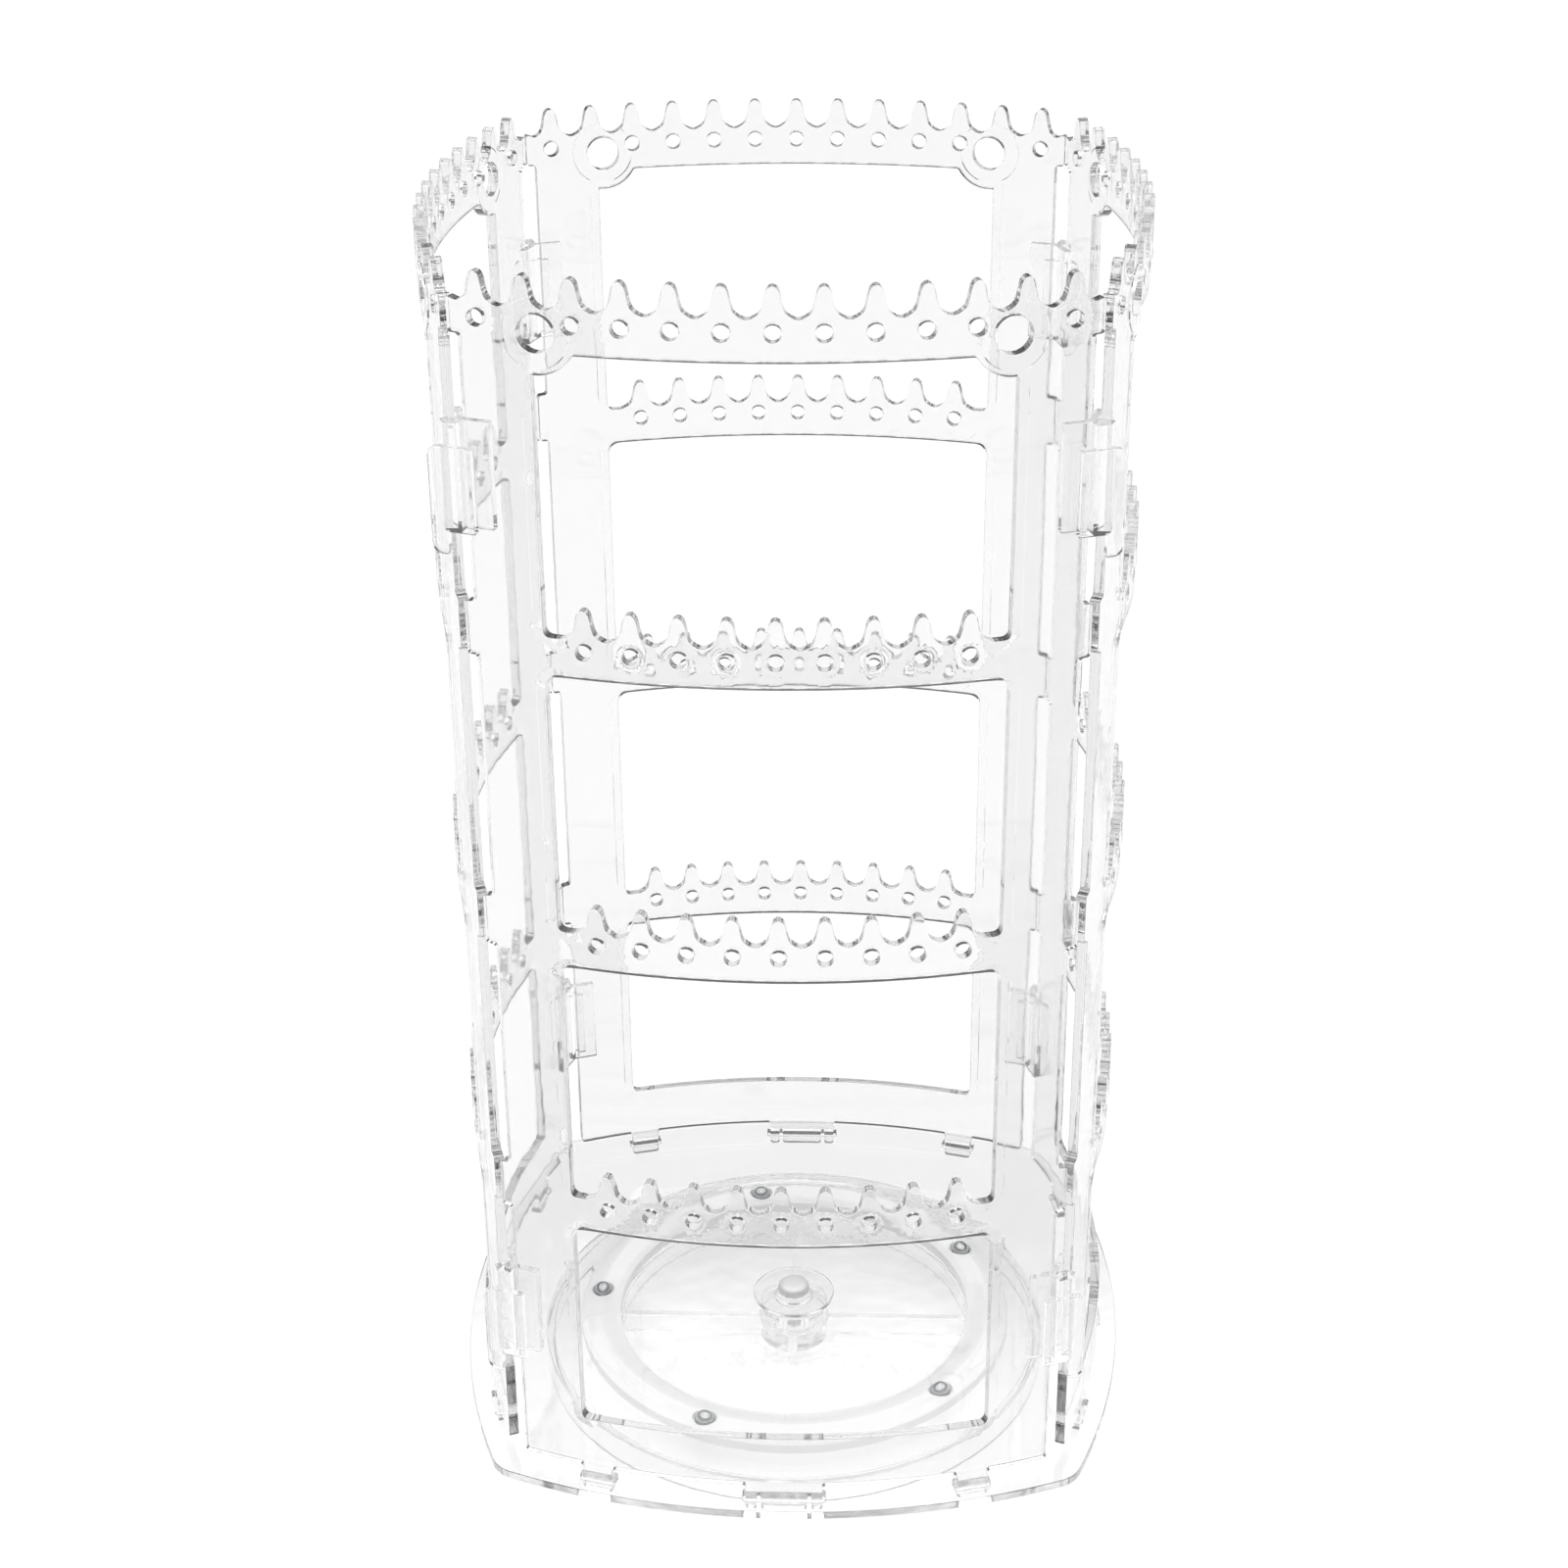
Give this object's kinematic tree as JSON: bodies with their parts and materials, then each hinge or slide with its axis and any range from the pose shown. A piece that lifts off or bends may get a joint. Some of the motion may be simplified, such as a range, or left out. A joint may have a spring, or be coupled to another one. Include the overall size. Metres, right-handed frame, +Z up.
{
  "type": "rotating earring display rack",
  "caption": "Rotating earring rack of clear plastic: bowed comb panels in a square, clipped at the corners, on a ball-bearing turntable with a round foot.",
  "frame": {"origin": "on the turning axis at table level, under the foot", "axes": "+Z up along the turning axis, -Y out of the front panel, +X to the right seen from the front"},
  "size_m": [0.1608, 0.1608, 0.2976],
  "materials": {
    "clear_styrene": "clear, glossy",
    "frosted_grey_plastic": "frosted",
    "polished_steel": "polished",
    "chrome_plate": "bright plated"
  },
  "bodies": {
    "foot": {"foot": "clear_styrene", "hub_washer": "clear_styrene", "hub_screw": "chrome_plate"},
    "turntable": {"turntable_plate": "clear_styrene", "panel_front": "clear_styrene", "panel_right": "clear_styrene", "panel_back": "clear_styrene", "panel_left": "clear_styrene", "clip_upper_front_right": "clear_styrene", "clip_upper_front_left": "clear_styrene", "clip_upper_back_left": "clear_styrene", "clip_upper_back_right": "clear_styrene", "clip_lower_front_right": "clear_styrene", "clip_lower_front_left": "clear_styrene", "clip_lower_back_left": "clear_styrene", "clip_lower_back_right": "clear_styrene"},
    "ball_race": {"ball_cage": "frosted_grey_plastic", "ball_1": "polished_steel", "ball_2": "polished_steel", "ball_3": "polished_steel", "ball_4": "polished_steel", "ball_5": "polished_steel"}
  },
  "joints": [
    {"name": "turntable_spin", "type": "hinge", "parent": "foot", "child": "turntable", "pos_m": [0, 0, 0.0134], "axis": [0, 0, 1], "continuous": true},
    {"name": "cage_spin", "type": "hinge", "parent": "foot", "child": "ball_race", "pos_m": [0, 0, 0.0102], "axis": [0, 0, 1], "continuous": true}
  ],
  "couplings": [
    {"joint": "cage_spin", "follows": "turntable_spin", "ratio": 0.5}
  ]
}
